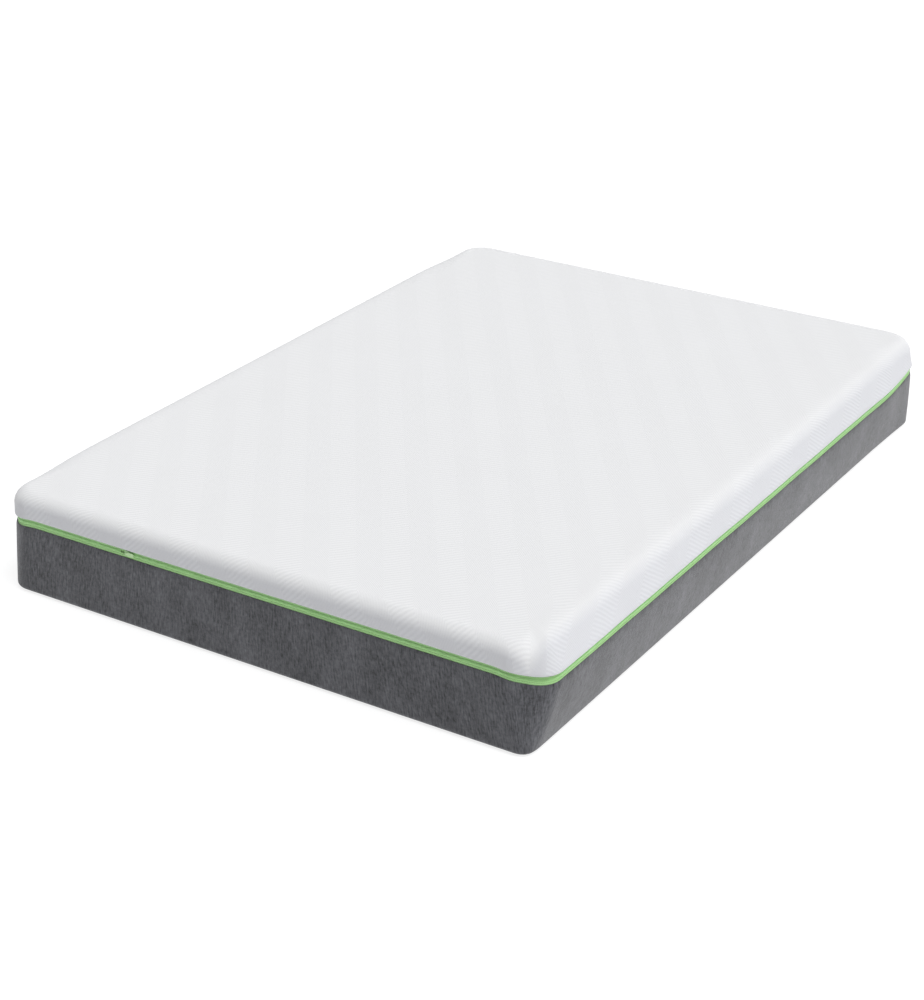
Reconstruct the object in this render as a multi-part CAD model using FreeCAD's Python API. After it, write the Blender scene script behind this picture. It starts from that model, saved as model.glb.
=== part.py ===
import FreeCAD, Part
import os

os.makedirs("parts", exist_ok=True)

# Memory foam mattress with a two-part zipped cover, in millimetres.
# Origin: centre of the underside. +X across the width, +Y along the length, +Z up.
# The zip runs all round the border, and its slider is parked on the -Y end.

# ---- driving dimensions ----------------------------------------------------------
WIDTH = 1400.0
LENGTH = 2000.0
HEIGHT = 250.0
CORNER_RADIUS = 55.0
TOP_EDGE_RADIUS = 30.0
ZIP_HEIGHT = 185.0

# Depths are measured inwards from the outer face of the white top cover.
BORDER_DEPTH = 2.5
LINING_DEPTH = 1.5
TAPE_DEPTH = 5.5
TAPE_THICKNESS = 1.0
COIL_DEPTH = 4.0
COIL_THICKNESS = 3.0
SOCK_DEPTH = 9.2
SOCK_THICKNESS = 1.0

# Zip stack, measured up or down from the zip's centre line.
CHAIN_GAP = 0.9
COIL_EDGE = 3.1
HEM_EDGE = 9.0
TAPE_EDGE = 17.0

# Zip slider and its pull tab, parked near the -X end of the front face.
SLIDER_X = -333.0
SLIDER_LENGTH = 14.0
SLIDER_HEIGHT = 13.0
PLATE_THICKNESS = 1.2
PLATE_CLEARANCE = 0.4
PULL_LENGTH = 22.0
PULL_HEIGHT = 9.0
PULL_THICKNESS = 1.6
HINGE_PIN_RADIUS = 0.7
HINGE_CLEARANCE = 0.1
HINGE_DEPTH = 1.1
HINGE_BACK = 3.0  # the hinge is this far behind the slider's middle
CHAIN_BREAK = 8.0
CHAIN_END_GAP = 4.0  # from the parked slider to the chain's end
STOP_LENGTH = 2.2
STOP_PROUD = 0.2
STOP_INSET = 0.05

# Small features of the slider and the pull tab.
PLATE_CORNER = 2.5
OVERLAP = 0.1  # how far joined solids run into each other
DIVIDER_START = 1.0
DIVIDER_LENGTH = 5.0
DIVIDER_HEIGHT = 1.2
GUIDE_INSET = 2.0
GUIDE_HEIGHT = 2.0
BAIL_LEG_Z = 2.8
BAIL_LEG_THICKNESS = 1.2
BAIL_LEG_LENGTH = 2.0
BAIL_LEG_PROUD = 0.8
PIN_HALF_LENGTH = 3.4
EYE_HALF_HEIGHT = 1.8
EYE_WALL = 0.15
NECK_LENGTH = 4.0

# Base and foam layers, from the underside up.
BASE_THICKNESS = 2.5
BINDING_HEIGHT = 8.0
BINDING_THICKNESS = 1.5
LAYER_GAP = 0.3
SUPPORT_THICKNESS = 144.0
TRANSITION_THICKNESS = 45.0
CROWN_GAP = 0.4
SOCK_EDGE_RADIUS = 22.0

# ---- places worked out from them --------------------------------------------------
FRONT_Y = -LENGTH / 2
BORDER_TOP = ZIP_HEIGHT - HEM_EDGE
HEM_BOTTOM = ZIP_HEIGHT + HEM_EDGE
SHELL_TOP = HEIGHT - TAPE_DEPTH
CORE_BOTTOM = BASE_THICKNESS + LAYER_GAP
CORE_TOP = SHELL_TOP - CROWN_GAP
FOAM_DEPTH = SOCK_DEPTH + SOCK_THICKNESS
FOAM_BOTTOM = CORE_BOTTOM + SOCK_THICKNESS
FOAM_TOP = CORE_TOP - SOCK_THICKNESS
TRANSITION_BOTTOM = FOAM_BOTTOM + SUPPORT_THICKNESS
MEMORY_BOTTOM = TRANSITION_BOTTOM + TRANSITION_THICKNESS
CHAIN_END_X = SLIDER_X - SLIDER_LENGTH / 2 - CHAIN_END_GAP
HINGE_X = SLIDER_X - HINGE_BACK


def block(depth, low, high):
    """Upright block with rounded corners, its sides at this depth."""
    half_x = WIDTH / 2 - depth
    half_y = LENGTH / 2 - depth
    box = Part.makeBox(2 * half_x, 2 * half_y, high - low, FreeCAD.Vector(-half_x, -half_y, low))
    upright = [edge for edge in box.Edges if abs(edge.tangentAt(0).z) > 0.5]
    return box.makeFillet(CORNER_RADIUS - depth, upright)


def crowned_block(depth, low, high, edge_radius):
    """The same block with its top edge rounded all the way round."""
    body = block(depth, low, high)
    rim = [edge for edge in body.Edges if edge.BoundBox.ZMin > high - 0.01]
    return body.makeFillet(edge_radius, rim)


def ring(outer_depth, inner_depth, low, high):
    """Upright wall that goes once round the mattress."""
    return block(outer_depth, low, high).cut(block(inner_depth, low - 1, high + 1))


def crowned_shell(outer_depth, inner_depth, low, high, thickness):
    """Open-bottomed cover: a top panel and its border in one rounded piece."""
    outer = crowned_block(outer_depth, low, high, TOP_EDGE_RADIUS - outer_depth)
    inner = crowned_block(inner_depth, low - 1, high - thickness, TOP_EDGE_RADIUS - inner_depth)
    return outer.cut(inner)


def front_box(x_low, x_high, depth_low, depth_high, z_low, z_high):
    """Box at the -Y face, placed by its depth under the white cover."""
    corner = FreeCAD.Vector(x_low, FRONT_Y + depth_low, z_low)
    return Part.makeBox(x_high - x_low, depth_high - depth_low, z_high - z_low, corner)


def chain_break():
    """The short stretch of the front face where the zip's two ends meet."""
    return front_box(CHAIN_END_X - CHAIN_BREAK, CHAIN_END_X, 0, SOCK_DEPTH,
                     ZIP_HEIGHT - HEM_EDGE, ZIP_HEIGHT + HEM_EDGE)


def coil(side):
    """Half of the zip's coil: side is 1 for the upper half and -1 for the lower."""
    edges = sorted((ZIP_HEIGHT + side * CHAIN_GAP, ZIP_HEIGHT + side * COIL_EDGE))
    band = ring(COIL_DEPTH, COIL_DEPTH + COIL_THICKNESS, *edges)
    return band.cut(chain_break())


def tape(side):
    """Woven tape that holds one half of the coil and is sewn behind the hem."""
    edges = sorted((ZIP_HEIGHT + side * COIL_EDGE, ZIP_HEIGHT + side * TAPE_EDGE))
    return ring(TAPE_DEPTH, TAPE_DEPTH + TAPE_THICKNESS, *edges)


def zip_stops(side):
    """Two crimped stops, one on each end of this half of the coil."""
    edges = (ZIP_HEIGHT + side * CHAIN_GAP, ZIP_HEIGHT + side * (COIL_EDGE - STOP_INSET))
    low, high = sorted(edges)
    depths = (COIL_DEPTH - STOP_PROUD, COIL_DEPTH + COIL_THICKNESS + STOP_PROUD)
    start = CHAIN_END_X - CHAIN_BREAK
    stops = [front_box(x, x + STOP_LENGTH, *depths, low, high)
             for x in (start, CHAIN_END_X - STOP_LENGTH)]
    return Part.makeCompound(stops)


def slider_body():
    """Slider: two plates joined by a divider, tape guides, and the bail for the pull."""
    x_low = SLIDER_X - SLIDER_LENGTH / 2
    x_high = x_low + SLIDER_LENGTH
    z_low = ZIP_HEIGHT - SLIDER_HEIGHT / 2
    z_high = z_low + SLIDER_HEIGHT
    front_inner = COIL_DEPTH - PLATE_CLEARANCE
    front_outer = front_inner - PLATE_THICKNESS
    back_outer = COIL_DEPTH + COIL_THICKNESS + PLATE_CLEARANCE
    back_inner = back_outer + PLATE_THICKNESS
    guide_top = z_low + GUIDE_HEIGHT
    guide_ends = (x_low + GUIDE_INSET, x_high - GUIDE_INSET)
    divider_low = x_low + DIVIDER_START
    divider = front_box(divider_low, divider_low + DIVIDER_LENGTH,
                        front_inner - OVERLAP, back_outer + OVERLAP,
                        ZIP_HEIGHT - DIVIDER_HEIGHT / 2, ZIP_HEIGHT + DIVIDER_HEIGHT / 2)
    body = rounded_plate(x_low, x_high, front_outer, front_inner, z_low, z_high)
    pieces = [
        rounded_plate(x_low, x_high, back_outer, back_inner, z_low, z_high),
        divider,
        front_box(*guide_ends, front_inner - OVERLAP, TAPE_DEPTH - PLATE_CLEARANCE,
                  z_low, guide_top),
        front_box(*guide_ends, TAPE_DEPTH + TAPE_THICKNESS + PLATE_CLEARANCE,
                  back_outer + OVERLAP, z_low, guide_top),
        hinge_pin(HINGE_PIN_RADIUS, PIN_HALF_LENGTH),
    ]
    for side in (-1, 1):
        z_leg = ZIP_HEIGHT + side * BAIL_LEG_Z
        leg = front_box(HINGE_X - BAIL_LEG_LENGTH / 2, HINGE_X + BAIL_LEG_LENGTH / 2,
                        HINGE_DEPTH - BAIL_LEG_PROUD, front_outer + OVERLAP,
                        z_leg - BAIL_LEG_THICKNESS / 2, z_leg + BAIL_LEG_THICKNESS / 2)
        pieces.append(leg)
    return body.multiFuse(pieces).removeSplitter()


def rounded_plate(x_low, x_high, depth_low, depth_high, z_low, z_high):
    """Slider plate with its four corners rounded."""
    plate = front_box(x_low, x_high, depth_low, depth_high, z_low, z_high)
    across = [edge for edge in plate.Edges if abs(edge.tangentAt(0).y) > 0.5]
    return plate.makeFillet(PLATE_CORNER, across)


def hinge_pin(radius, half_length):
    """Upright round bar on the pull tab's hinge axis."""
    foot = FreeCAD.Vector(HINGE_X, FRONT_Y + HINGE_DEPTH, ZIP_HEIGHT - half_length)
    return Part.makeCylinder(radius, 2 * half_length, foot)


def pull_tab():
    """Flat tab with a round eye that turns on the slider's bail."""
    eye_z = (ZIP_HEIGHT - EYE_HALF_HEIGHT, ZIP_HEIGHT + EYE_HALF_HEIGHT)
    neck_end = HINGE_X + NECK_LENGTH
    depths = (HINGE_DEPTH - PULL_THICKNESS / 2, HINGE_DEPTH + PULL_THICKNESS / 2)
    eye = hinge_pin(PULL_THICKNESS / 2 + EYE_WALL, EYE_HALF_HEIGHT)
    neck = front_box(HINGE_X, neck_end + 1, *depths, *eye_z)
    blade = rounded_plate(neck_end, HINGE_X + PULL_LENGTH, *depths,
                          ZIP_HEIGHT - PULL_HEIGHT / 2, ZIP_HEIGHT + PULL_HEIGHT / 2)
    tab = eye.multiFuse([neck, blade])
    hole = hinge_pin(HINGE_PIN_RADIUS + HINGE_CLEARANCE, PIN_HALF_LENGTH)
    return tab.cut(hole).removeSplitter()


def sock():
    """Closed inner sock that wraps all three foam layers."""
    outer = crowned_block(SOCK_DEPTH, CORE_BOTTOM, CORE_TOP, SOCK_EDGE_RADIUS)
    inner = crowned_block(FOAM_DEPTH, FOAM_BOTTOM, FOAM_TOP, SOCK_EDGE_RADIUS - SOCK_THICKNESS)
    return outer.cut(inner)


parts = {
    # fixed lower half of the cover
    "base_panel": block(BORDER_DEPTH, 0, BASE_THICKNESS),
    "side_border": ring(BORDER_DEPTH, TAPE_DEPTH, BASE_THICKNESS, BORDER_TOP),
    "base_seam_binding": ring(TAPE_DEPTH, TAPE_DEPTH + BINDING_THICKNESS,
                              BASE_THICKNESS, BASE_THICKNESS + BINDING_HEIGHT),
    "lower_zip_tape": tape(-1),
    "lower_zip_coil": coil(-1),
    "lower_zip_stops": zip_stops(-1),
    # lift-off upper half of the cover
    "top_cover": crowned_shell(0, LINING_DEPTH, HEM_BOTTOM, HEIGHT, LINING_DEPTH),
    "cover_wadding": crowned_shell(LINING_DEPTH, TAPE_DEPTH, HEM_BOTTOM,
                                   HEIGHT - LINING_DEPTH, TAPE_DEPTH - LINING_DEPTH),
    "upper_zip_tape": tape(1),
    "upper_zip_coil": coil(1),
    "upper_zip_stops": zip_stops(1),
    # slider and pull
    "zip_slider_body": slider_body(),
    "zip_pull_tab": pull_tab(),
    # foam core
    "inner_sock": sock(),
    "support_foam_core": block(FOAM_DEPTH, FOAM_BOTTOM, TRANSITION_BOTTOM),
    "transition_foam_layer": block(FOAM_DEPTH, TRANSITION_BOTTOM, MEMORY_BOTTOM),
    "memory_foam_layer": crowned_block(FOAM_DEPTH, MEMORY_BOTTOM, FOAM_TOP,
                                       SOCK_EDGE_RADIUS - SOCK_THICKNESS),
}

for name, shape in parts.items():
    shape.exportStep("parts/" + name + ".step")
    print(name, "valid", shape.isValid(), "solids", len(shape.Solids),
          "volume %.0f" % shape.Volume, "z %.1f..%.1f" % (shape.BoundBox.ZMin, shape.BoundBox.ZMax))
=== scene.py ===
import math

import bpy
import numpy as np
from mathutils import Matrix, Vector


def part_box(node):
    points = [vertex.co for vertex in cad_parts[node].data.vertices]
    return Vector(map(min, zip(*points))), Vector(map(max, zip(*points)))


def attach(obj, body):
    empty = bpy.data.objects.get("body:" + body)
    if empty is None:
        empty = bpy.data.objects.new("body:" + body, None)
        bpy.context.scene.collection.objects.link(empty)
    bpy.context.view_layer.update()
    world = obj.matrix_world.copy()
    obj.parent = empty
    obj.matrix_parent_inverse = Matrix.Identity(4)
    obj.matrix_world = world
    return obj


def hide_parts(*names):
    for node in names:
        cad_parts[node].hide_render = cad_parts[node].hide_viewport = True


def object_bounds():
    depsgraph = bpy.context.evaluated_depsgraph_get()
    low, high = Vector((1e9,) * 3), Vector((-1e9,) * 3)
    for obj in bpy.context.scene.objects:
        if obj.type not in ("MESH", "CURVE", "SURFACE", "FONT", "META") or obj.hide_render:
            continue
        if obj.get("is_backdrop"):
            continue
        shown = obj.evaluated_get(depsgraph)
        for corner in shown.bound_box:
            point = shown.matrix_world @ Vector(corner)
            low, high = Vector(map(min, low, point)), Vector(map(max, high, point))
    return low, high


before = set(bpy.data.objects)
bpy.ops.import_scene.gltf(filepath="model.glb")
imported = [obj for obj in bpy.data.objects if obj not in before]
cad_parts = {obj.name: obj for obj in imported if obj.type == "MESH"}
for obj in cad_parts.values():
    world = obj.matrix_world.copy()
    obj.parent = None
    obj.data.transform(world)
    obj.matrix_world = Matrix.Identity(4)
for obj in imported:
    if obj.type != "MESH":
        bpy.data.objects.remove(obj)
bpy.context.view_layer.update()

# ---- sizes read from the frame, in metres -----------------------------------------
LOW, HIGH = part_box("top_cover")
HALF_W, HALF_L, HEIGHT = HIGH.x, HIGH.y, HIGH.z
HEM_Z = LOW.z
BORDER_TOP_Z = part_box("side_border")[1].z
ZIP_Z = (HEM_Z + BORDER_TOP_Z) / 2
TAPE_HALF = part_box("upper_zip_tape")[1].z - ZIP_Z
SOCK_LOW, SOCK_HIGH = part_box("inner_sock")
MM = 0.001

# ---- how the soft cover differs from its plain solid ------------------------------
BULGE = 25.5 * MM          # the long sides stand out this far at the zip
BULGE_POWER = 1.6          # how early, going up, the long sides reach that
BASE_INSET = 9 * MM        # the long sides draw in this far at the underside
ZIP_DIP = 11 * MM          # the zip hangs this much lower along the long sides
DIP_REACH = 100 * MM       # over this much of the short sides' ends the dip builds up
HANG_FROM, HANG_FULL = 0.2, 0.7    # shares of the height: no hang below, full hang from here
HANG_UNTIL = 0.8                   # and full hang up to here, then none at the top
SHOULDER_IN = 75 * MM      # where the long sides' shoulder meets the flat top
SHOULDER_TILT = 57.0       # slope of the shoulder's straight foot, in degrees
SHOULDER_FOOT = 44 * MM    # length of that foot
EDGE_RADIUS = 30 * MM      # the short sides' top edge
BASE_CORNER = 43 * MM      # plan corner radius at the underside
ZIP_CORNER = 75 * MM       # plan corner radius at the zip
CORNER_SHARE = 0.45        # a deeper outline's corner radius shrinks by this share of its depth
CORNER_POWER = 4           # how fast the bulge falls off round a corner
NEAR_EASE = 45 * MM        # the bulge builds up over this distance from the near corner
FAR_EASE = 300 * MM        # and over this distance from the other corners
KNIT = 1.4 * MM            # thickness of the white knit
HEM_ROLL = 2.7 * MM        # the white hem's rolled radius
SHOULDER_LOW = HEM_Z + HEM_ROLL
UNDER_COVER = 5 * MM       # depth at which the tapes and hems follow the shoulder

# ---- the outline that every layer follows ------------------------------------------
SIDE_STEP = 14 * MM        # between the stations of the straight sides
ARC_STEPS = 12             # steps round each corner


def make_stations():
    """The stations round the outline, anticlockwise from the -X end of the front: the signs of
    the corners that each one's side starts and ends at, how far along that side it is, and the
    angle it faces."""
    rows = []
    sides = [((-1, -1), (1, -1), -90, HALF_W), ((1, -1), (1, 1), 0, HALF_L),
             ((1, 1), (-1, 1), 90, HALF_W), ((-1, 1), (-1, -1), 180, HALF_L)]
    for start, end, angle, half in sides:
        count = 2 * round(half / SIDE_STEP)
        for k in range(count):
            rows.append((*start, *end, (k + 0.5) / count, math.radians(angle)))
        for k in range(ARC_STEPS + 1):
            turn = math.radians(angle + 90 * k / ARC_STEPS)
            rows.append((*end, *end, 0.0, turn))
    return np.array(rows).T[:, :, None]


SX0, SY0, SX1, SY1, PART_WAY, ANGLE = make_stations()
NX, NY = np.cos(ANGLE), np.sin(ANGLE)
COUNT = len(ANGLE)


def corner_radius(z):
    share = np.clip(z / ZIP_Z, 0, 1)
    return BASE_CORNER + (ZIP_CORNER - BASE_CORNER) * share


def outline(depth, z):
    """X and Y at each station, this deep inside the plain upright wall, at height z."""
    radius = corner_radius(z)
    # a deep outline keeps part of its corner radius, so that the flat top has round corners
    arc = np.where(depth > 0, radius - CORNER_SHARE * depth, radius - depth)
    inset = arc + depth
    along_x = SX0 + (SX1 - SX0) * PART_WAY
    along_y = SY0 + (SY1 - SY0) * PART_WAY
    return along_x * (HALF_W - inset) + arc * NX, along_y * (HALF_L - inset) + arc * NY


BASE_X, BASE_Y = outline(0, ZIP_Z)
RUN = np.cumsum(np.hypot(np.diff(BASE_X[:, 0], prepend=BASE_X[-1, 0]),
                         np.diff(BASE_Y[:, 0], prepend=BASE_Y[-1, 0])))[:, None]
RUN -= RUN[0]
PERIMETER = RUN[-1, 0] + SIDE_STEP


def swell():
    """1 where a long side stands out fully, easing to 0 towards the short sides."""
    def ease(distance, width):
        return np.sin(np.clip(distance / width, 0, 1) * np.pi / 2)
    near_width = np.where(BASE_X > 0, NEAR_EASE, FAR_EASE)
    ends = ease(BASE_Y + HALF_L, near_width) * ease(HALF_L - BASE_Y, FAR_EASE)
    return NX ** CORNER_POWER * ends


SWELL = swell()


def smooth(share):
    share = np.clip(share, 0, 1)
    return share * share * (3 - 2 * share)


DIP = ZIP_DIP * smooth((np.abs(BASE_X) - HALF_W + DIP_REACH) / DIP_REACH)


def hang(z):
    """How far the stack's layers hang at height z: most at the zip, none at top and bottom."""
    share = z / HEIGHT
    rising = (share - HANG_FROM) / (HANG_FULL - HANG_FROM)
    falling = (1 - share) / (1 - HANG_UNTIL)
    return DIP * np.clip(np.minimum(rising, falling), 0, 1)


WAVE = 0.9 * MM            # the stack's waviness
CALM_BAND = 26 * MM        # this far from the zip the waviness is back on the foot end


def unevenness(z):
    """The slow waviness of the whole stack, under a millimetre; none where the slider runs."""
    turn = 2 * np.pi * RUN / PERIMETER
    wave = (0.45 * np.sin(9 * turn + 0.6) + 0.3 * np.sin(17 * turn + 2.1 + 9 * z)
            + 0.25 * np.sin(31 * turn + 4.0 - 14 * z))
    front = np.clip(-NY, 0, 1) ** 2
    calm = 1 - front * np.exp(-((z - ZIP_Z) / CALM_BAND) ** 2)
    fade = np.clip(z / ZIP_Z, 0, 1) * np.clip((HEIGHT - z) / (HEIGHT - HEM_Z), 0, 1)
    return wave * WAVE * calm * fade


CURVE_STEPS, FOOT_STEPS = 401, 100


def long_profile():
    """The long sides' shoulder as shares of its depth and height: a straight sloping foot,
    then a curve that flattens out into the top. The curve's power is found by halving."""
    tilt = math.radians(SHOULDER_TILT)
    rise = HEIGHT - SHOULDER_LOW - SHOULDER_FOOT * math.sin(tilt)
    run = BULGE + SHOULDER_IN - SHOULDER_FOOT * math.cos(tilt)
    share = np.linspace(0, 1, CURVE_STEPS)
    slow, fast = 0.3, 12.0
    for _ in range(50):
        power = (slow + fast) / 2
        angle = tilt * (1 - share) ** power
        if np.sin(angle).mean() / np.cos(angle).mean() > rise / run:
            slow = power
        else:
            fast = power
    length = rise / np.sin(angle).mean()
    deep = SHOULDER_FOOT * math.cos(tilt) + length * np.cumsum(np.cos(angle)) / len(share)
    high = SHOULDER_FOOT * math.sin(tilt) + length * np.cumsum(np.sin(angle)) / len(share)
    foot = np.linspace(0, SHOULDER_FOOT, FOOT_STEPS, endpoint=False)
    deep = np.concatenate([foot * math.cos(tilt), deep])
    high = np.concatenate([foot * math.sin(tilt), high])
    return deep / deep[-1], high / high[-1]


PROFILE_DEPTH, PROFILE_HEIGHT = long_profile()


def bulge(z):
    """How far the long sides stand out at height z, before the ends are eased."""
    share = np.clip(z / ZIP_Z, 0, 1)
    out = (BULGE + BASE_INSET) * (1 - (1 - share) ** BULGE_POWER) - BASE_INSET
    height = (z - SHOULDER_LOW) / (HEIGHT - UNDER_COVER - SHOULDER_LOW)
    turned = np.interp(height, PROFILE_HEIGHT, PROFILE_DEPTH)
    return out - (BULGE + SHOULDER_IN - UNDER_COVER) * turned


def wall_points(depth, z):
    """(stations, section, 3) points of a section swept round the bulging wall."""
    depth, z = np.atleast_1d(depth)[None, :], np.atleast_1d(z)[None, :]
    x, y = outline(depth - SWELL * bulge(z), z + 0 * SWELL)
    lift = unevenness(z)
    return np.stack([x + lift * NX, y + lift * NY, z - hang(z) + 0 * x], axis=2)


# ---- mesh helpers -------------------------------------------------------------------
def mend_seam(mesh, flat):
    """Let the faces that close the loop carry on past the perimeter."""
    starts = np.zeros(len(mesh.polygons), np.int32)
    sizes = np.zeros(len(mesh.polygons), np.int32)
    mesh.polygons.foreach_get("loop_start", starts)
    mesh.polygons.foreach_get("loop_total", sizes)
    face = np.repeat(np.arange(len(starts)), sizes)
    top = np.full(len(starts), -np.inf)
    np.maximum.at(top, face, flat[:, 0])
    flat[(top[face] > 0.9 * PERIMETER) & (flat[:, 0] < 0.1 * PERIMETER), 0] += PERIMETER


def new_mesh(name, points, faces, uv=None):
    """A smooth-shaded piece; uv holds each point's flat cloth coordinates in metres."""
    mesh = bpy.data.meshes.new(name)
    mesh.from_pydata(points.reshape(-1, 3).tolist(), [], faces)
    mesh.update()
    if uv is not None:
        layer = mesh.uv_layers.new(name="cloth")
        loops = np.zeros(len(mesh.loops), np.int32)
        mesh.loops.foreach_get("vertex_index", loops)
        flat = uv.reshape(-1, 2)[loops]
        if flat[:, 0].max() > 0.9 * PERIMETER:
            mend_seam(mesh, flat)
        layer.data.foreach_set("uv", flat.ravel())
    for polygon in mesh.polygons:
        polygon.use_smooth = True
    piece = bpy.data.objects.new(name, mesh)
    bpy.context.scene.collection.objects.link(piece)
    return piece


def strip_faces(rings, closed_section):
    """Quads of a section with this many points, swept once round all the stations."""
    faces = []
    last = rings if closed_section else rings - 1
    for i in range(COUNT):
        j = (i + 1) % COUNT
        for k in range(last):
            m = (k + 1) % rings
            faces.append((i * rings + k, j * rings + k, j * rings + m, i * rings + m))
    return faces


def flipped(faces, offset=0):
    """Faces turned over, with this much added to their vertex numbers."""
    return [tuple(offset + i for i in reversed(f)) for f in faces]


def loop_uv(points):
    """Flat coordinates of a wall: the run round the mattress, and the height."""
    run = RUN + 0 * points[:, :, 2]
    return np.stack([run, points[:, :, 2]], axis=2)


def swept(name, depth, z):
    """A closed section swept round the mattress."""
    points = wall_points(depth, z)
    return new_mesh(name, points, strip_faces(points.shape[1], True), loop_uv(points))


def arc(centre, radius, start, end, steps):
    """Depth and height along an arc; angle 0 points inwards and 90 up."""
    turns = np.radians(np.linspace(start, end, steps))
    return centre[0] + radius * np.cos(turns), centre[1] + radius * np.sin(turns)


def joined(*stretches):
    """One section from several stretches of (depth, height)."""
    depth = np.concatenate([np.atleast_1d(s[0]) for s in stretches])
    z = np.concatenate([np.atleast_1d(s[1]) for s in stretches])
    return depth, z


def upright(depth, low, high, steps):
    """A straight upright stretch of a section."""
    return np.full(steps, depth), np.linspace(low, high, steps)


# ---- shoulder profile of the white cover and everything under it -------------------
SHOULDER_STEPS = 22


def shoulder_points(side_in, top_in, start=0.0):
    """(stations, steps, 3) points of a layer's shoulder, this far inside the cover's outer
    face at its side and its top; start is how far above the shoulder's foot it begins."""
    low, high = SHOULDER_LOW, HEIGHT - top_in
    # short side: an upright stretch, then a quarter circle
    radius = EDGE_RADIUS - side_in
    split = SHOULDER_STEPS // 3
    turns = np.linspace(0, np.pi / 2, SHOULDER_STEPS - split)
    short_depth = np.concatenate([np.full(split, side_in),
                                  side_in + radius * (1 - np.cos(turns))])
    short_z = np.concatenate([np.linspace(low + start, high - radius, split, endpoint=False),
                              high - radius + radius * np.sin(turns)])
    # long side: a broad shoulder that starts at the bulge
    first = np.searchsorted(PROFILE_HEIGHT, start / (high - low))
    picked = np.linspace(first, len(PROFILE_DEPTH) - 1, SHOULDER_STEPS).astype(int)
    long_depth = side_in - BULGE + (BULGE + SHOULDER_IN - side_in) * PROFILE_DEPTH[picked]
    long_z = low + (high - low) * PROFILE_HEIGHT[picked]
    depth = short_depth + (long_depth - short_depth) * SWELL
    z = short_z + (long_z - short_z) * SWELL
    x, y = outline(depth, z)
    lift = unevenness(z)
    return np.stack([x + lift * NX, y + lift * NY, z - hang(z)], axis=2)


RIDGE_HALF = HALF_L - HALF_W       # half the length of a panel's middle line
HALF_ARC = ARC_STEPS // 2 + 1      # the grid's corners lie in the middle of the arcs
GRID_X = 2 * round(HALF_W / SIDE_STEP) + 2 * HALF_ARC - 1
GRID_Y = 2 * round(HALF_L / SIDE_STEP) + 2 * HALF_ARC - 1
EVEN_STEPS = 800                   # rounds of averaging that even out the grid


def border_ids():
    """Stations along the front, right, back and left of the top's grid."""
    start = -HALF_ARC
    front = (start + np.arange(GRID_X + 1)) % COUNT
    right = (start + GRID_X + np.arange(GRID_Y + 1)) % COUNT
    back = (start + 2 * GRID_X + GRID_Y - np.arange(GRID_X + 1)) % COUNT
    left = (start + COUNT - np.arange(GRID_Y + 1)) % COUNT
    return front, right, back, left


def across(values):
    """Spread values at the stations smoothly over the inside of the grid."""
    front, right, back, left = (values[ids] for ids in border_ids())
    u = np.linspace(0, 1, GRID_X + 1)[:, None]
    v = np.linspace(0, 1, GRID_Y + 1)[None, :]
    level = (1 - v) * front[:, None] + v * back[:, None]
    upright_way = (1 - u) * left[None, :] + u * right[None, :]
    corners = ((1 - u) * (1 - v) * front[0] + u * (1 - v) * front[-1]
               + (1 - u) * v * back[0] + u * v * back[-1])
    return (level + upright_way - corners)[1:-1, 1:-1]


def evened(values):
    """A grid's values at the stations spread over its inside, evened out step by step."""
    front, right, back, left = (values[ids] for ids in border_ids())
    grid = np.zeros((GRID_X + 1, GRID_Y + 1))
    grid[:, 0], grid[:, -1], grid[0], grid[-1] = front, back, left, right
    grid[1:-1, 1:-1] = across(values)
    for _ in range(EVEN_STEPS):
        grid[1:-1, 1:-1] = (grid[:-2, 1:-1] + grid[2:, 1:-1]
                            + grid[1:-1, :-2] + grid[1:-1, 2:]) / 4
    return grid[1:-1, 1:-1]


def inside_points(edge):
    """Points inside the crowned top whose edge is this ring of (COUNT, 3)."""
    x, y = evened(edge[:, 0]), evened(edge[:, 1])
    z = across(edge[:, 2] - crown(edge[:, 0], edge[:, 1])) + crown(x, y)
    return np.stack([x, y, z], axis=-1).reshape(-1, 3)


def inside_faces(edge_ids, first):
    """Quads of the top's grid; edge_ids are the vertex numbers at the stations."""
    front, right, back, left = border_ids()
    ids = np.zeros((GRID_X + 1, GRID_Y + 1), int)
    ids[1:-1, 1:-1] = first + np.arange((GRID_X - 1) * (GRID_Y - 1)).reshape(GRID_X - 1, -1)
    ids[:, 0], ids[:, -1] = edge_ids[front], edge_ids[back]
    ids[0], ids[-1] = edge_ids[left], edge_ids[right]
    quads = np.stack([ids[:-1, :-1], ids[1:, :-1], ids[1:, 1:], ids[:-1, 1:]], axis=-1)
    return [tuple(q) for q in quads.reshape(-1, 4).tolist()]


CROWN_RISE, CROWN_WAVE = 1.6 * MM, 0.35 * MM


def crown(x, y):
    """The top's slight rise towards the middle, and its faint waviness."""
    rise = (1 - (x / HALF_W) ** 4) * (1 - (y / HALF_L) ** 4)
    wave = (np.sin(9.0 * x + 1.3) * np.sin(7.0 * y + 0.4)
            + 0.6 * np.sin(17 * x - 5 * y + 2.2) + 0.5 * np.sin(4 * x + 15 * y))
    return rise * (CROWN_RISE + CROWN_WAVE * wave)


def unfolded(side):
    """Flat cloth coordinates of the shoulder: the edge's X and Y, and the drop past it."""
    steps = np.linalg.norm(np.diff(side, axis=1), axis=2)
    drop = np.zeros(side.shape[:2])
    drop[:, :-1] = np.cumsum(steps[:, ::-1], axis=1)[:, ::-1]
    return side[:, -1:, :2] + np.stack([NX * drop, NY * drop], axis=2)


def closing_faces(rings, ring, offset=0):
    """Quads across the middle line, between each station and its mirror in X."""
    middle = round(HALF_W / SIDE_STEP)
    faces = []
    for k in range(COUNT // 2 - 1):
        right, right_next = (middle + k) % COUNT, (middle + k + 1) % COUNT
        left, left_next = (middle - 1 - k) % COUNT, (middle - 2 - k) % COUNT
        faces.append(tuple(offset + i * rings + ring for i in (right, right_next, left_next, left)))
    return faces


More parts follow.
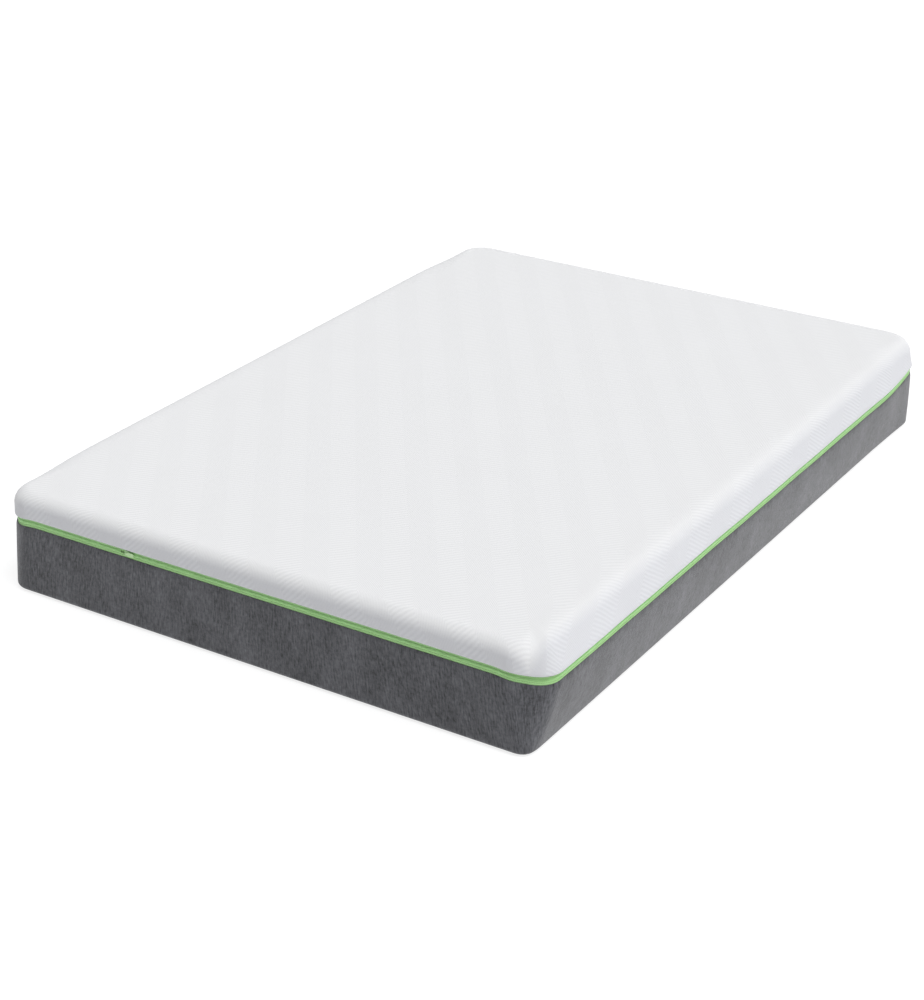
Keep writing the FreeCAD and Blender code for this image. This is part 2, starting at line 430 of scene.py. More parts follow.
def toward_middle(edge, count):
    """This many rings that run from an edge to the middle line at the edge's own height."""
    share = (np.arange(1, count + 1) / (count + 0.5))[None, :]
    x = edge[:, 0:1] * (1 - share)
    y = edge[:, 1:2] * (1 - share) + edge[:, 1:2] * RIDGE_HALF / HALF_L * share
    return np.stack([x, y, edge[:, 2:3] + 0 * x], axis=2)


def crowned_surface(side_in, top_in, start=0.0, below=None):
    """Points, faces and cloth coordinates of a crowned top with its shoulder. The side's
    vertices come first, station by station."""
    side = shoulder_points(side_in, top_in, start)
    if below is not None:
        side = np.concatenate([below, side], axis=1)
    rings = side.shape[1]
    inside = inside_points(side[:, -1])
    faces = strip_faces(rings, False)
    faces += inside_faces(np.arange(COUNT) * rings + rings - 1, COUNT * rings)
    points = np.concatenate([side.reshape(-1, 3), inside])
    uv = np.concatenate([unfolded(side).reshape(-1, 2), inside[:, :2]])
    return points, faces, uv, rings


def crowned_cover(name, outer, inner, start, hem_depth, hem_z):
    """A crowned cover with thickness; the hem is a chain from its outer face to its inner one."""
    out_points, out_faces, out_uv, rings = crowned_surface(outer, outer, start)
    in_points, in_faces, in_uv, _ = crowned_surface(inner, inner, start)
    hem = wall_points(hem_depth, hem_z)
    links = hem.shape[1]
    total = len(out_points)
    points = np.concatenate([out_points, in_points, hem.reshape(-1, 3)])
    faces = out_faces + flipped(in_faces, total)
    for i in range(COUNT):
        j = (i + 1) % COUNT
        one, other = ([s * rings] + [2 * total + s * links + k for k in range(links)]
                      + [total + s * rings] for s in (i, j))
        for k in range(links + 1):
            faces.append((one[k + 1], other[k + 1], other[k], one[k]))
    reach = np.cumsum(np.hypot(np.diff(hem_depth, prepend=hem_depth[0]),
                               np.diff(hem_z, prepend=hem_z[0])))[None, :]
    foot_uv = out_uv[np.arange(COUNT) * rings][:, None, :]
    hem_uv = foot_uv + np.stack([NX * reach, NY * reach], axis=2)
    uv = np.concatenate([out_uv, in_uv, hem_uv.reshape(-1, 2)])
    return new_mesh(name, points, faces, uv)


# ---- colours and material helpers ---------------------------------------------------
def linear(*srgb):
    """Linear colour from 0-255 screen values."""
    shares = [v / 255 for v in srgb]
    return tuple(s / 12.92 if s <= 0.04045 else ((s + 0.055) / 1.055) ** 2.4
                 for s in shares) + (1.0,)


class Graph:
    """A small builder for one material's nodes."""

    def __init__(self, name):
        self.material = bpy.data.materials.new(name)
        self.material.use_nodes = True
        self.tree = self.material.node_tree
        self.tree.nodes.clear()
        self.out = self.tree.nodes.new("ShaderNodeOutputMaterial")
        self.shader = self.tree.nodes.new("ShaderNodeBsdfPrincipled")
        self.tree.links.new(self.shader.outputs[0], self.out.inputs["Surface"])

    def plug(self, socket, value):
        if isinstance(value, bpy.types.NodeSocket):
            self.tree.links.new(value, socket)
        else:
            socket.default_value = value

    def node(self, kind, inputs=(), output=0, **props):
        made = self.tree.nodes.new("ShaderNode" + kind)
        for key, value in props.items():
            setattr(made, key, value)
        for key, value in dict(inputs).items():
            self.plug(made.inputs[key], value)
        return made.outputs[output]

    def maths(self, operation, first, second=0.0, third=0.0):
        return self.node("Math", {0: first, 1: second, 2: third}, operation=operation)

    def cloth(self):
        """Flat cloth coordinates in metres."""
        return self.node("UVMap", uv_map="cloth")

    def place(self):
        return self.node("TexCoord", output="Object")

    def split(self, vector):
        made = self.tree.nodes.new("ShaderNodeSeparateXYZ")
        self.plug(made.inputs[0], vector)
        return made.outputs[0], made.outputs[1], made.outputs[2]

    def noise(self, vector, scale, detail=3.0, rough=0.55, stretch=None):
        if stretch is not None:
            vector = self.node("Mapping", {0: vector, "Scale": stretch})
        return self.node("TexNoise", {"Vector": vector, "Scale": scale, "Detail": detail,
                                      "Roughness": rough})

    def ramp(self, value, low, high, to_low=0.0, to_high=1.0):
        return self.node("MapRange", {0: value, 1: low, 2: high, 3: to_low, 4: to_high})

    def mix(self, factor, first, second, blend="MIX"):
        made = self.tree.nodes.new("ShaderNodeMix")
        made.data_type = "RGBA"
        made.blend_type = blend
        self.plug(made.inputs[0], factor)
        self.plug(made.inputs[6], first)
        self.plug(made.inputs[7], second)
        return made.outputs[2]

    def bump(self, height, distance, strength):
        return self.node("Bump", {"Height": height, "Distance": distance, "Strength": strength})

    def finish(self, colour, rough, normal=None, **uniform):
        """Plug in what varies, and set the uniform values on the shader itself."""
        self.plug(self.shader.inputs["Base Color"], colour)
        self.plug(self.shader.inputs["Roughness"], rough)
        if normal is not None:
            self.plug(self.shader.inputs["Normal"], normal)
        for key, value in uniform.items():
            self.shader.inputs[key.replace("_", " ")].default_value = value
        return self.material


def dress(piece, material):
    """Give a piece this material in all its slots."""
    if piece.data.materials:
        for k in range(len(piece.data.materials)):
            piece.data.materials[k] = material
    else:
        piece.data.materials.append(material)
    for s in piece.material_slots:
        s.link = "DATA"
        s.material = material


# ---- the materials ------------------------------------------------------------------
RIB_PITCH = 6 * MM
ZIGZAG_LEG = 100 * MM      # the ribs lean one way over this length, then the other way
ZIGZAG_LEAN = 0.40         # sideways over lengthways
ZIGZAG_SLANT = 1.43        # the rows of turning points run across at this slope
RIB_WANDER = 10 * MM


def white_knit():
    """White jacquard: fine raised ribs that run lengthwise in a long zigzag."""
    g = Graph("white_jacquard_knit")
    u, v, _ = g.split(g.cloth())
    lean = g.maths("PINGPONG", g.maths("ADD", v, g.maths("MULTIPLY", u, ZIGZAG_SLANT)), ZIGZAG_LEG)
    sway = g.maths("MULTIPLY", lean, ZIGZAG_LEAN)
    wander = g.maths("MULTIPLY", g.maths("SUBTRACT", g.noise(g.cloth(), 9.0, 2.0), 0.5),
                     RIB_WANDER)
    phase = g.maths("ADD", g.maths("ADD", u, sway), wander)
    rib = g.maths("SINE", g.maths("MULTIPLY", phase, 2 * math.pi / RIB_PITCH))
    rib = g.maths("MULTIPLY_ADD", rib, 0.5, 0.5)
    stitch = g.noise(g.cloth(), 900.0, 2.0, 0.6, stretch=(1.0, 0.45, 1.0))
    fleck = g.node("TexVoronoi", {"Vector": g.cloth(), "Scale": 230.0})
    fleck = g.ramp(fleck, 0.05, 0.35)
    patch = g.ramp(g.noise(g.cloth(), 5.0, 3.0, 0.6), 0.35, 0.65)
    height = g.maths("ADD", g.maths("MULTIPLY", rib, 0.6),
                     g.maths("ADD", g.maths("MULTIPLY", stitch, 0.3),
                             g.maths("MULTIPLY", fleck, 0.25)))
    light, dark = (0.805, 0.808, 0.815, 1.0), (0.69, 0.693, 0.705, 1.0)
    # more rib relief on the cloth turned down the sides, and painted shade: darker and bluer there
    sides = g.maths("MAXIMUM",
                    g.ramp(g.maths("ABSOLUTE", u), HALF_W - 18 * MM, HALF_W + 14 * MM),
                    g.ramp(g.maths("ABSOLUTE", v), HALF_L - 8 * MM, HALF_L + 18 * MM))
    shade = g.maths("ADD", g.maths("MULTIPLY", rib, 0.45),
                    g.maths("ADD", g.maths("MULTIPLY", stitch, 0.35),
                            g.maths("MULTIPLY", fleck, 0.3)))
    colour = g.mix(g.ramp(shade, 0.1, 0.9), dark, light)
    colour = g.mix(g.maths("MULTIPLY", patch, 0.25), colour, (0.80, 0.805, 0.815, 1.0))
    # painted shade: the colour of the cloth turned down the sides is multiplied darker and bluer
    colour = g.mix(sides, colour, (0.86, 0.865, 0.89, 1.0), "MULTIPLY")
    normal = g.bump(height, 0.7 * MM, g.ramp(sides, 0.0, 1.0, 0.65, 0.8))
    rough = g.ramp(stitch, 0.3, 0.7, 0.82, 0.94)
    return g.finish(colour, rough, normal, Sheen_Weight=0.12, Sheen_Roughness=0.5,
                    Specular_IOR_Level=0.2)


WALE_PITCH, COURSE_PITCH = 2.4 * MM, 1.8 * MM


def marl_knit(name, low, high, sheen):
    """Grey marl: mottled, with short upright streaks."""
    g = Graph(name)
    where = g.cloth()
    streak = g.noise(where, 260.0, 4.0, 0.65, stretch=(1.0, 0.16, 1.0))
    mottle = g.noise(where, 120.0, 4.0, 0.7)
    broad = g.noise(where, 14.0, 2.0, 0.5, stretch=(1.0, 0.4, 1.0))
    u, v, _ = g.split(where)
    wale = g.maths("SINE", g.maths("MULTIPLY", u, 2 * math.pi / WALE_PITCH))
    course = g.maths("SINE", g.maths("MULTIPLY", v, 2 * math.pi / COURSE_PITCH))
    loops = g.maths("MULTIPLY_ADD", g.maths("MULTIPLY", wale, course), 0.5, 0.5)
    blend = g.maths("ADD", g.maths("MULTIPLY", streak, 0.55),
                    g.maths("ADD", g.maths("MULTIPLY", mottle, 0.35),
                            g.maths("MULTIPLY", broad, 0.25)))
    colour = g.mix(g.ramp(blend, 0.40, 0.78), low, high)
    height = g.maths("ADD", g.maths("MULTIPLY", loops, 0.5), g.maths("MULTIPLY", mottle, 0.6))
    normal = g.bump(height, 0.6 * MM, 0.6)
    rough = g.ramp(mottle, 0.3, 0.7, 0.78, 0.95)
    return g.finish(colour, rough, normal, Sheen_Weight=sheen, Sheen_Roughness=0.45,
                    Specular_IOR_Level=0.25)


def woven(name, low, high, pitch, use_cloth=True):
    """A plain narrow weave, as on zip tape, binding, thread and jersey."""
    g = Graph(name)
    where = g.cloth() if use_cloth else g.place()
    u, v, _ = g.split(where)
    across = g.maths("SINE", g.maths("MULTIPLY", u, 2 * math.pi / pitch))
    along = g.maths("SINE", g.maths("MULTIPLY", v, 2 * math.pi / pitch))
    weave = g.maths("MULTIPLY_ADD", g.maths("MULTIPLY", across, along), 0.5, 0.5)
    fuzz = g.noise(where, 700.0, 3.0, 0.6)
    broad = g.noise(where, 18.0, 2.0, 0.5)
    shade = g.maths("ADD", g.maths("MULTIPLY", weave, 0.4),
                    g.maths("ADD", g.maths("MULTIPLY", fuzz, 0.35),
                            g.maths("MULTIPLY", broad, 0.25)))
    colour = g.mix(g.ramp(shade, 0.2, 0.8), low, high)
    normal = g.bump(g.maths("ADD", weave, fuzz), 0.25 * MM, 0.6)
    return g.finish(colour, g.ramp(fuzz, 0.3, 0.7, 0.74, 0.86), normal, Sheen_Weight=0.1,
                    Specular_IOR_Level=0.3)


def nylon(name, low, high, rough=0.4, coat=0.0):
    """Moulded nylon or painted metal with fine handling marks."""
    g = Graph(name)
    where = g.place()
    marks = g.noise(where, 900.0, 4.0, 0.65)
    broad = g.noise(where, 120.0, 3.0, 0.5)
    colour = g.mix(g.ramp(g.maths("ADD", g.maths("MULTIPLY", marks, 0.5),
                                  g.maths("MULTIPLY", broad, 0.5)), 0.35, 0.65), low, high)
    normal = g.bump(marks, 0.05 * MM, 0.5)
    return g.finish(colour, g.ramp(broad, 0.3, 0.7, rough - 0.08, rough + 0.1), normal,
                    Coat_Weight=coat, Specular_IOR_Level=0.5)


def foam(name, low, high, cell):
    """Open-cell foam: pores, and a faint cut grain."""
    g = Graph(name)
    where = g.place()
    pores = g.node("TexVoronoi", {"Vector": where, "Scale": 1 / cell})
    pores = g.ramp(pores, 0.1, 0.6)
    fine = g.noise(where, 400.0, 4.0, 0.7)
    broad = g.noise(where, 6.0, 3.0, 0.5)
    cut = g.noise(where, 60.0, 2.0, 0.5, stretch=(0.06, 0.06, 1.0))
    shade = g.maths("ADD", g.maths("MULTIPLY", pores, 0.4),
                    g.maths("ADD", g.maths("MULTIPLY", fine, 0.3),
                            g.maths("ADD", g.maths("MULTIPLY", broad, 0.2),
                                    g.maths("MULTIPLY", cut, 0.15))))
    colour = g.mix(g.ramp(shade, 0.3, 0.8), low, high)
    height = g.maths("ADD", pores, g.maths("MULTIPLY", fine, 0.5))
    normal = g.bump(height, 0.5 * MM, 0.6)
    return g.finish(colour, g.ramp(fine, 0.3, 0.7, 0.85, 0.96), normal,
                    Specular_IOR_Level=0.2)


def fibre():
    """Quilt wadding: matted pale fibre."""
    g = Graph("polyester_wadding")
    where = g.cloth()
    mat = g.noise(where, 160.0, 5.0, 0.75)
    lay = g.noise(where, 40.0, 3.0, 0.6, stretch=(1.0, 0.35, 1.0))
    shade = g.maths("ADD", g.maths("MULTIPLY", mat, 0.6), g.maths("MULTIPLY", lay, 0.4))
    colour = g.mix(g.ramp(shade, 0.3, 0.7), linear(205, 207, 210), linear(244, 244, 244))
    normal = g.bump(shade, 1.2 * MM, 0.7)
    return g.finish(colour, g.ramp(mat, 0.3, 0.7, 0.88, 0.98), normal, Sheen_Weight=0.3,
                    Specular_IOR_Level=0.15)


GREEN_LOW, GREEN_HIGH = (0.35, 0.66, 0.245, 1.0), (0.53, 0.86, 0.405, 1.0)
KNIT_WHITE = white_knit()
MARL = marl_knit("grey_marl_knit", (0.013, 0.013, 0.015, 1.0), (0.188, 0.191, 0.209, 1.0), 0.35)
BASE_CLOTH = marl_knit("dark_base_cloth", (0.045, 0.045, 0.048, 1.0),
                       (0.13, 0.13, 0.14, 1.0), 0.1)
TAPE_CLOTH = woven("green_zip_tape", GREEN_LOW, GREEN_HIGH, 1.1 * MM)
COIL_NYLON = nylon("green_zip_coil", (0.40, 0.73, 0.285, 1.0), (0.52, 0.87, 0.40, 1.0))
STOP_METAL = nylon("green_zip_stop", (0.17, 0.37, 0.11, 1.0), (0.24, 0.46, 0.17, 1.0), 0.35)
SLIDER_PAINT = nylon("green_zip_slider", (0.36, 0.62, 0.26, 1.0), (0.50, 0.74, 0.40, 1.0),
                     0.32, 0.2)
PULL_PAINT = nylon("green_zip_pull", (0.42, 0.68, 0.30, 1.0), (0.56, 0.80, 0.45, 1.0),
                   0.34, 0.2)
BINDING_CLOTH = woven("dark_seam_binding", (0.02, 0.02, 0.022, 1.0), (0.07, 0.07, 0.075, 1.0),
                      1.2 * MM)
SOCK_JERSEY = woven("sock_jersey", (0.62, 0.62, 0.60, 1.0), (0.80, 0.80, 0.78, 1.0), 1.6 * MM)
WADDING = fibre()
MEMORY_FOAM = foam("memory_foam", linear(226, 214, 190), linear(248, 240, 222), 0.9 * MM)
TRANSITION_FOAM = foam("transition_foam", linear(186, 204, 212), linear(218, 230, 236), 1.3 * MM)
SUPPORT_FOAM = foam("support_foam", linear(212, 213, 212), linear(240, 240, 238), 1.6 * MM)
THREAD_GREEN = woven("green_thread", (0.10, 0.27, 0.06, 1.0), (0.20, 0.42, 0.12, 1.0), 0.5 * MM,
                     use_cloth=False)


def settle(piece, body, material, slot, *nodes):
    """Dress a piece, tie it to its body, and hide the nodes it stands for. The slot is not used."""
    dress(piece, material)
    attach(piece, body)
    if nodes:
        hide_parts(*nodes)
    return piece


# ---- the white cover ------------------------------------------------------------------
COVER_INNER = 5.4 * MM
HEM_LEG = SHOULDER_LOW + 2.6 * MM
hem_at = (HEM_ROLL, SHOULDER_LOW)
# round the bottom of the roll, up and over its inner leg, and back inside the roll
hem_section = joined(arc(hem_at, HEM_ROLL, 195, 345, 8),
                     ([2 * HEM_ROLL, 2 * HEM_ROLL, 2 * HEM_ROLL - KNIT / 2, 2 * HEM_ROLL - KNIT,
                       2 * HEM_ROLL - KNIT],
                      [SHOULDER_LOW + 1 * MM, HEM_LEG, HEM_LEG + 0.4 * MM, HEM_LEG,
                       SHOULDER_LOW + 1 * MM]),
                     arc(hem_at, HEM_ROLL - KNIT, 345, 195, 6))
top_cover = settle(crowned_cover("knit_top_cover", 0.0, KNIT, 0.0, *hem_section),
                   "top_cover", KNIT_WHITE, "top_knit", "top_cover")
WAD_OUT = KNIT + 0.2 * MM
WAD_START = 4.4 * MM
wad_section = joined(([(2 * WAD_OUT + COVER_INNER) / 3, (WAD_OUT + 2 * COVER_INNER) / 3],
                      [SHOULDER_LOW + WAD_START - 0.5 * MM] * 2))
wadding = settle(crowned_cover("quilt_wadding", WAD_OUT, COVER_INNER, WAD_START, *wad_section),
                 "top_cover", WADDING, "wadding", "cover_wadding")


# ---- the grey border, the underside and the seam between them -------------------------
CURL = 14 * MM             # radius of the border's turn at the bottom
CURL_AT = (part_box("side_border")[0].x + HALF_W + CURL, 1.0 * MM + CURL)
BORDER_OUT = 2.5 * MM      # depths of its outer and inner faces
BORDER_IN = 5.4 * MM
BORDER_EDGE_Z = BORDER_TOP_Z - 2 * MM
BORDER_LEAN = 1.6 * MM     # its top edge leans in to the tape by this much
ROLL = (BORDER_IN - BORDER_OUT - BORDER_LEAN) / 2
border_section = joined(
    (CURL_AT[0] + 2 * MM, CURL_AT[1] - CURL),
    arc(CURL_AT, CURL, 270, 180, 9),
    upright(BORDER_OUT, CURL_AT[1] + 8 * MM, BORDER_EDGE_Z - 10 * MM, 14),
    (BORDER_OUT + 0.3 * BORDER_LEAN, BORDER_EDGE_Z - 6 * MM),
    (BORDER_OUT + 0.7 * BORDER_LEAN, BORDER_EDGE_Z - 3 * MM),
    arc((BORDER_IN - ROLL, BORDER_EDGE_Z - ROLL), ROLL, 180, 0, 6),
    upright(BORDER_IN, BORDER_EDGE_Z - 6 * MM, CURL_AT[1] + 8 * MM, 12),
    arc(CURL_AT, CURL - (BORDER_IN - BORDER_OUT), 180, 270, 7),
    (CURL_AT[0] + 2 * MM, CURL_AT[1] - CURL + BORDER_IN - BORDER_OUT))
border = settle(swept("marl_side_border", *border_section), "base_cover", MARL, "border_knit",
                "side_border")

BINDING_DEPTH, BINDING_Z = 12.5 * MM, 7.3 * MM
BINDING_RADIUS = 1.6 * MM
binding_turns = -np.radians(np.arange(0, 360, 45))
settle(swept("seam_binding", BINDING_DEPTH + BINDING_RADIUS * np.cos(binding_turns),
             BINDING_Z + BINDING_RADIUS * np.sin(binding_turns)),
       "base_cover", BINDING_CLOTH, "binding", "base_seam_binding")

PANEL_IN, PANEL_THICK = 13.0 * MM, 0.9 * MM
PANEL_RINGS = 30


def flat_panel(name, inner, thick):
    """A thin flat panel on the floor, with a rounded outline."""
    edge_depth, edge_z = arc((inner + thick / 2, thick / 2), thick / 2, 270, 90, 5)
    edge = wall_points(edge_depth, edge_z)
    edge[:, :, 2] = edge_z[None, :]
    points = np.concatenate([toward_middle(edge[:, 0], PANEL_RINGS)[:, ::-1], edge,
                             toward_middle(edge[:, -1], PANEL_RINGS)], axis=1)
    count = points.shape[1]
    faces = strip_faces(count, False) + closing_faces(count, count - 1)
    faces += flipped(closing_faces(count, 0))
    return new_mesh(name, points, faces, points[:, :, :2])


base_panel = settle(flat_panel("underside_panel", PANEL_IN, PANEL_THICK),
                    "base_cover", BASE_CLOTH, "base_fabric", "base_panel")


# ---- the zip ----------------------------------------------------------------------------
ZIP_HALVES = (("lower", "base_cover", -1), ("upper", "top_cover", 1))
TAPE_OUT, TAPE_IN = 5.6 * MM, 6.4 * MM     # depths of the tapes' faces
TAPE_EDGE = 1.6 * MM                       # from the zip's middle to each tape's near edge
TAPE_ROWS = 8
for half, body, side in ZIP_HALVES:
    near, far = ZIP_Z + side * TAPE_EDGE, ZIP_Z + side * TAPE_HALF
    low, high = min(near, far), max(near, far)
    section = joined(upright(TAPE_OUT, low, high, TAPE_ROWS),
                     upright(TAPE_IN, high, low, TAPE_ROWS))
    settle(swept(half + "_zip_tape_cloth", *section), body, TAPE_CLOTH, "zip_tape",
           half + "_zip_tape")


def closed_path(depth, z):
    """The closed path at this depth and height: a function of distance, and its length."""
    points = wall_points(depth, z)[:, 0]
    ring = np.vstack([points, points[:1]])
    run = np.concatenate([[0], np.cumsum(np.linalg.norm(np.diff(ring, axis=0), axis=1))])

    def at(distance):
        d = np.mod(distance, run[-1])
        return np.stack([np.interp(d, run, ring[:, k]) for k in range(3)], axis=-1)
    return at, run[-1]


TANGENT_REACH = 4 * MM


def frames_along(depth, z, pitch, start=0.0):
    """Places, tangents and inward normals every pitch along the zip."""
    at, length = closed_path(depth, z)
    count = round(length / pitch)
    distance = (np.arange(count) + start) * length / count
    spot = at(distance)
    ahead = at(distance + TANGENT_REACH) - at(distance - TANGENT_REACH)
    tangent = ahead / np.linalg.norm(ahead, axis=1, keepdims=True)
    inward = np.stack([-tangent[:, 1], tangent[:, 0], 0 * tangent[:, 0]], axis=1)
    return spot, tangent, inward


def repeated(name, template, faces, spots, tangents, inwards):
    """One mesh of a small form repeated along a path; template rows are (along, inward, up)."""
    up = np.array([0.0, 0.0, 1.0])
    points = (spots[:, None, :] + template[None, :, 0:1] * tangents[:, None, :]
              + template[None, :, 1:2] * inwards[:, None, :] + template[None, :, 2:3] * up)
    size = len(template)
    all_faces = [tuple(i + size * k for i in f) for k in range(len(spots)) for f in faces]
    return new_mesh(name, points, all_faces)


def capsule(start, end, radius_a, radius_b, sides=6):
    """A short bar with drawn-in ends between two points (along, inward, up)."""
    start, end = np.array(start), np.array(end)
    axis = (end - start) / np.linalg.norm(end - start)
    side = np.cross(axis, [0.0, 1.0, 0.0])
    side /= np.linalg.norm(side)
    other = np.cross(axis, side)
    rows = []
    turns = np.arange(sides) * 2 * np.pi / sides
    ends = ((start, 0.45), (start + axis * radius_a * 0.5, 1.0),
            (end - axis * radius_a * 0.5, 1.0), (end, 0.45))
    for centre, share in ends:
        rows.append(centre + share * (radius_a * np.cos(turns)[:, None] * side
                                      + radius_b * np.sin(turns)[:, None] * other))
    faces = []
    for r in range(3):
        for k in range(sides):
            m = (k + 1) % sides
            faces.append((r * sides + k, r * sides + m, (r + 1) * sides + m, (r + 1) * sides + k))
    faces.append(tuple(range(sides - 1, -1, -1)))
    faces.append(tuple(range(3 * sides, 4 * sides)))
    return np.concatenate(rows), faces


TEETH_DEPTH = 5.3 * MM
TEETH_PITCH = 2.6 * MM
TOOTH_ROOT = (0.35 * MM, 3.1 * MM)         # along the zip, and away from its middle
TOOTH_TIP = (-0.25 * MM, -0.6 * MM)        # past the middle, so that the halves mesh
TOOTH_RADII = (0.85 * MM, 1.35 * MM)
GAP_LEFT, GAP_RIGHT = -354.5 * MM, -341.5 * MM     # the chain's two ends, on the foot end
for half, body, side in ZIP_HALVES:
    spots, tangents, inwards = frames_along(TEETH_DEPTH, ZIP_Z, TEETH_PITCH, 0.5 if side > 0 else 0)
    on_foot_end = spots[:, 1] < -HALF_L * 0.98
    keep = ~(on_foot_end & (spots[:, 0] > GAP_LEFT) & (spots[:, 0] < GAP_RIGHT))
    form, faces = capsule((TOOTH_ROOT[0], 0, side * TOOTH_ROOT[1]),
                          (TOOTH_TIP[0], 0, side * TOOTH_TIP[1]), *TOOTH_RADII)
    teeth = repeated(half + "_zip_coil_teeth", form, faces, spots[keep], tangents[keep],
                     inwards[keep])
    settle(teeth, body, COIL_NYLON, "zip_coil", half + "_zip_coil")

STITCH_PITCH = 3.4 * MM
STITCH_HALF = 1.2 * MM
STITCH_RADII = (0.32 * MM, 0.28 * MM)
STITCH_DEPTH = TAPE_OUT - 0.15 * MM
STITCH_ROW = 6.2 * MM                      # from the zip's middle to each row of stitches
for half, body, side in ZIP_HALVES:
    form, faces = capsule((-STITCH_HALF, 0, 0), (STITCH_HALF, 0, 0), *STITCH_RADII)
    path = frames_along(STITCH_DEPTH, ZIP_Z + side * STITCH_ROW, STITCH_PITCH)
    settle(repeated(half + "_tape_stitches", form, faces, *path), body, THREAD_GREEN, "zip_tape")


# ---- the core -----------------------------------------------------------------------------
UNDER_RINGS = 12
LAYER_ROUND = 3 * MM       # radius of a foam layer's edges
LOW_ROUND = 17 * MM        # radius of the core's bottom edge
FOAM_IN = 10.3 * MM        # depth of the foam's side
SEAM = 0.15 * MM           # gap between two glued layers
WALL_STEP = 12 * MM        # height of a wall's rows of faces


def closed_below(points, faces, rings):
    """Close a layer's underside with rings that shrink to the middle line."""
    under = toward_middle(points[np.arange(COUNT) * rings], UNDER_RINGS)
    total = len(points)
    for i in range(COUNT):
        j = (i + 1) % COUNT
        faces.append((j * rings, i * rings, total + i * UNDER_RINGS, total + j * UNDER_RINGS))
        for k in range(UNDER_RINGS - 1):
            one, other = total + i * UNDER_RINGS + k, total + j * UNDER_RINGS + k
            faces.append((other, one, one + 1, other + 1))
    faces += flipped(closing_faces(UNDER_RINGS, UNDER_RINGS - 1, total))
    return np.concatenate([points, under.reshape(-1, 3)]), faces


def layer_surface(side_in, low, high, low_round, top_in=None):
    """Points and faces of a closed layer; top_in is given where the shoulder closes it."""
    lower = arc((side_in + low_round, low + low_round), low_round, 270, 180, 7)
    wall_top = SHOULDER_LOW - 1 * MM if top_in is not None else high - LAYER_ROUND
    steps = max(1, round((wall_top - low - low_round) / WALL_STEP) + 1)
    rise = np.linspace(low + low_round, wall_top, steps)[1:]
    wall = wall_points(*joined(lower, (np.full(len(rise), side_in), rise)))
    if top_in is not None:
        points, faces, _, rings = crowned_surface(side_in, top_in, below=wall)
        return closed_below(points, faces, rings)
    turn = arc((side_in + LAYER_ROUND, high - LAYER_ROUND), LAYER_ROUND, 165, 90, 4)
    side = np.concatenate([wall, wall_points(*turn)], axis=1)
    points = np.concatenate([side, toward_middle(side[:, -1], UNDER_RINGS)], axis=1)
    rings = points.shape[1]
    faces = strip_faces(rings, False) + closing_faces(rings, rings - 1)
    return closed_below(points.reshape(-1, 3), faces, rings)


def foam_layer(name, node, low, high, low_round, material, slot, top_in=None):
    """A block of foam in place of its plain CAD solid."""
    points, faces = layer_surface(FOAM_IN, low, high, low_round, top_in)
    return settle(new_mesh(name, points, faces), "core", material, slot, node)


SUPPORT_LOW, SUPPORT_HIGH = (v.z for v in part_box("support_foam_core"))
TRANSITION_LOW, TRANSITION_HIGH = (v.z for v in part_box("transition_foam_layer"))
MEMORY_LOW, MEMORY_HIGH = (v.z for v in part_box("memory_foam_layer"))
support = foam_layer("support_foam_block", "support_foam_core", SUPPORT_LOW, SUPPORT_HIGH,
                     LOW_ROUND, SUPPORT_FOAM, "support_foam")
transition = foam_layer("transition_foam_block", "transition_foam_layer", TRANSITION_LOW + SEAM,
                        TRANSITION_HIGH, LAYER_ROUND, TRANSITION_FOAM, "transition_foam")
memory = foam_layer("memory_foam_block", "memory_foam_layer", MEMORY_LOW + SEAM, None, 1 * MM,
                    MEMORY_FOAM, "memory_foam", HEIGHT - MEMORY_HIGH)

SOCK_SIDE = 9.3 * MM       # depth of the sock's outer face
SOCK_TOP = HEIGHT - SOCK_HIGH.z + 0.1 * MM
SOCK_ROUND = LOW_ROUND + 1 * MM
SOCK_SKIN = 0.7 * MM       # its thickness
outer_points, outer_faces = layer_surface(SOCK_SIDE, SOCK_LOW.z, None, SOCK_ROUND, SOCK_TOP)
inner_points, inner_faces = layer_surface(SOCK_SIDE + SOCK_SKIN, SOCK_LOW.z + SOCK_SKIN, None,
                                          SOCK_ROUND - SOCK_SKIN, SOCK_TOP + SOCK_SKIN)
sock_points = np.concatenate([outer_points, inner_points])
sock_faces = outer_faces + flipped(inner_faces, len(outer_points))
sock = new_mesh("jersey_inner_sock", sock_points, sock_faces, sock_points[:, :2])
settle(sock, "core", SOCK_JERSEY, "sock_jersey", "inner_sock")


# ---- the small hard parts keep their CAD form -----------------------------------------------
for node, material in (("zip_slider_body", SLIDER_PAINT), ("zip_pull_tab", PULL_PAINT),
                       ("upper_zip_stops", STOP_METAL), ("lower_zip_stops", STOP_METAL)):
    dress(bpy.data.objects[node], material)


# ---- floor, light and camera ---------------------------------------------------------------------
FLOOR_REACH = 14           # metres each way
FLOOR_DROP = 0.4 * MM      # the underside doesn't touch it
FLOOR_GLOW = 0.80          # its own light, so that it shows white with hardly a shadow


def floor():
    mesh = bpy.data.meshes.new("floor")
    signs = ((-1, -1), (1, -1), (1, 1), (-1, 1))
    mesh.from_pydata([(x * FLOOR_REACH, y * FLOOR_REACH, 0) for x, y in signs], [], [(0, 1, 2, 3)])
    made = bpy.data.objects.new("floor", mesh)
    bpy.context.scene.collection.objects.link(made)
    g = Graph("pale_floor")
    tone = g.noise(g.place(), 2.0, 2.0, 0.5)
    colour = g.mix(tone, (0.28, 0.28, 0.285, 1.0), (0.32, 0.32, 0.32, 1.0))
    dress(made, g.finish(colour, 0.9, Specular_IOR_Level=0.1,
                         Emission_Color=(1.0, 1.0, 1.0, 1.0), Emission_Strength=FLOOR_GLOW))
    made.location.z = -FLOOR_DROP
    made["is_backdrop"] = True


floor()
WORLD_TOWARD = (-0.25, 0.75, 0.6)          # the brightest side of the surroundings
WORLD_DIM, WORLD_BRIGHT = 0.04, 0.59
